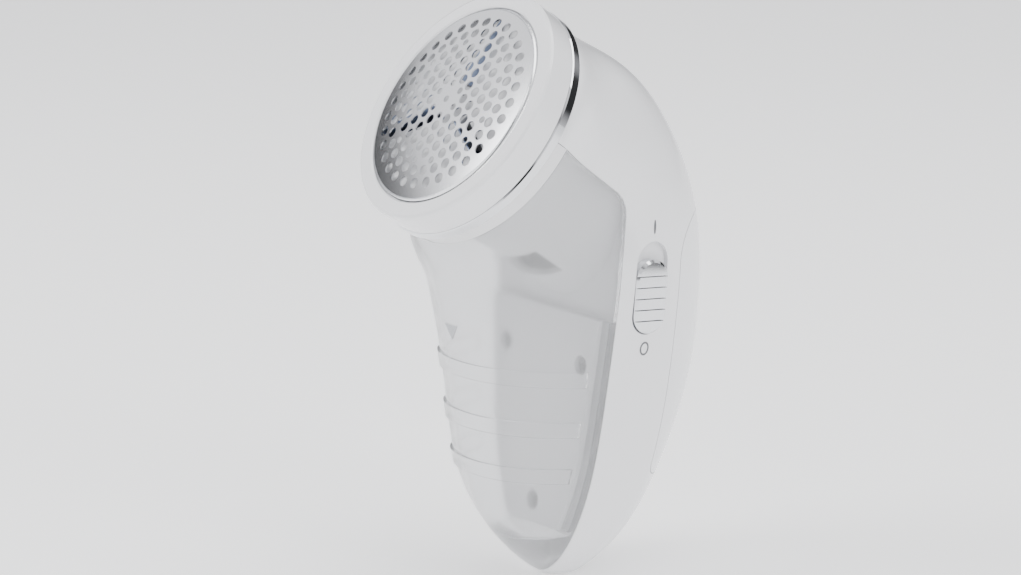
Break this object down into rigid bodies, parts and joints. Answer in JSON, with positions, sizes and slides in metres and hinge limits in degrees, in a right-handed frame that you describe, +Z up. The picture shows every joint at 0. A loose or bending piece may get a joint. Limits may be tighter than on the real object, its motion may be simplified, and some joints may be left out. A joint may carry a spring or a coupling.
{
  "type": "fabric shaver",
  "caption": "Battery fabric shaver with a round perforated foil head, guard ring, leaning hand grip, translucent lint bin and slide switch.",
  "frame": {"origin": "on the ground under the middle of the object's bounding box, with the object standing on its foot as drawn", "axes": "+Z up, the foil looks towards -Y and upwards, the switch is on the +X side"},
  "size_m": [0.0686, 0.096, 0.1613],
  "materials": {
    "white_gloss": "smooth glossy white",
    "white_satin": "satin white",
    "foil_steel": "bright perforated sheet",
    "chrome": "bright plated",
    "felt": "pressed felt",
    "blade_steel": "ground",
    "grey_plastic": "moulded",
    "spring_steel": "drawn wire",
    "motor_steel": "zinc plated",
    "dark_plastic": "moulded",
    "brass": "stamped",
    "screw_steel": "black zinc",
    "frosted": "frosted translucent",
    "cell_wrap": "printed film",
    "nickel": "nickel plated",
    "wire_black": "sleeved",
    "wire_red": "sleeved"
  },
  "bodies": {
    "grip": {"rear_shell": "white_gloss", "front_frame": "white_satin", "cutter_housing": "white_satin", "trim_ring": "chrome", "shaft_seal": "felt", "motor_can": "motor_steel", "motor_end_cap": "dark_plastic", "motor_bearing": "brass", "motor_terminals": "brass", "motor_cover": "white_satin", "motor_screws": "screw_steel", "housing_screws": "screw_steel", "frame_screws": "screw_steel", "battery_tray": "dark_plastic", "battery_cell_1": "cell_wrap", "battery_cell_2": "cell_wrap", "contact_positive": "nickel", "contact_negative": "nickel", "contact_bridge": "nickel", "spring_lower": "spring_steel", "spring_upper": "spring_steel", "switch_body": "motor_steel", "switch_terminals": "brass", "switch_screws": "screw_steel", "wire_black": "wire_black", "wire_red": "wire_red", "wire_motor": "wire_red"},
    "rotor": {"blade_hub": "white_satin", "cutter_blade_1": "blade_steel", "cutter_blade_2": "blade_steel", "cutter_blade_3": "blade_steel", "drive_coupling": "grey_plastic", "blade_spring": "spring_steel", "motor_shaft": "blade_steel"},
    "ring_carrier": {"foil_retainer": "white_satin"},
    "foil_head": {"guard_ring": "white_gloss", "foil": "foil_steel"},
    "bin": {"lint_bin": "frosted"},
    "door": {"battery_door": "white_gloss"},
    "switch": {"switch_knob": "chrome", "switch_slider": "dark_plastic", "switch_lever": "dark_plastic"}
  },
  "joints": [
    {"name": "rotor_spin", "type": "hinge", "parent": "grip", "child": "rotor", "pos_m": [0, -0.0285, 0.134], "axis": [0, -0.8171, 0.5764], "continuous": true},
    {"name": "ring_lift", "type": "slide", "parent": "grip", "child": "ring_carrier", "axis": [0, -0.8171, 0.5764], "range_m": [0, 0.012]},
    {"name": "ring_twist", "type": "hinge", "parent": "ring_carrier", "child": "foil_head", "pos_m": [0, -0.0285, 0.134], "axis": [0, -0.8171, 0.5764], "range_deg": [0, 120]},
    {"name": "bin_slide", "type": "slide", "parent": "grip", "child": "bin", "axis": [0, -0.0802, -0.9968], "range_m": [0, 0.06]},
    {"name": "door_hinge", "type": "hinge", "parent": "grip", "child": "door", "pos_m": [0, 0.0328, 0.02734], "axis": [-1, 0, 0], "range_deg": [0, 70]},
    {"name": "switch_slide", "type": "slide", "parent": "grip", "child": "switch", "axis": [0, 0.0802, 0.9968], "range_m": [0, 0.0045]}
  ],
  "couplings": [
    {"joint": "ring_lift", "follows": "ring_twist", "m_per_rad": 0.0057295}
  ]
}
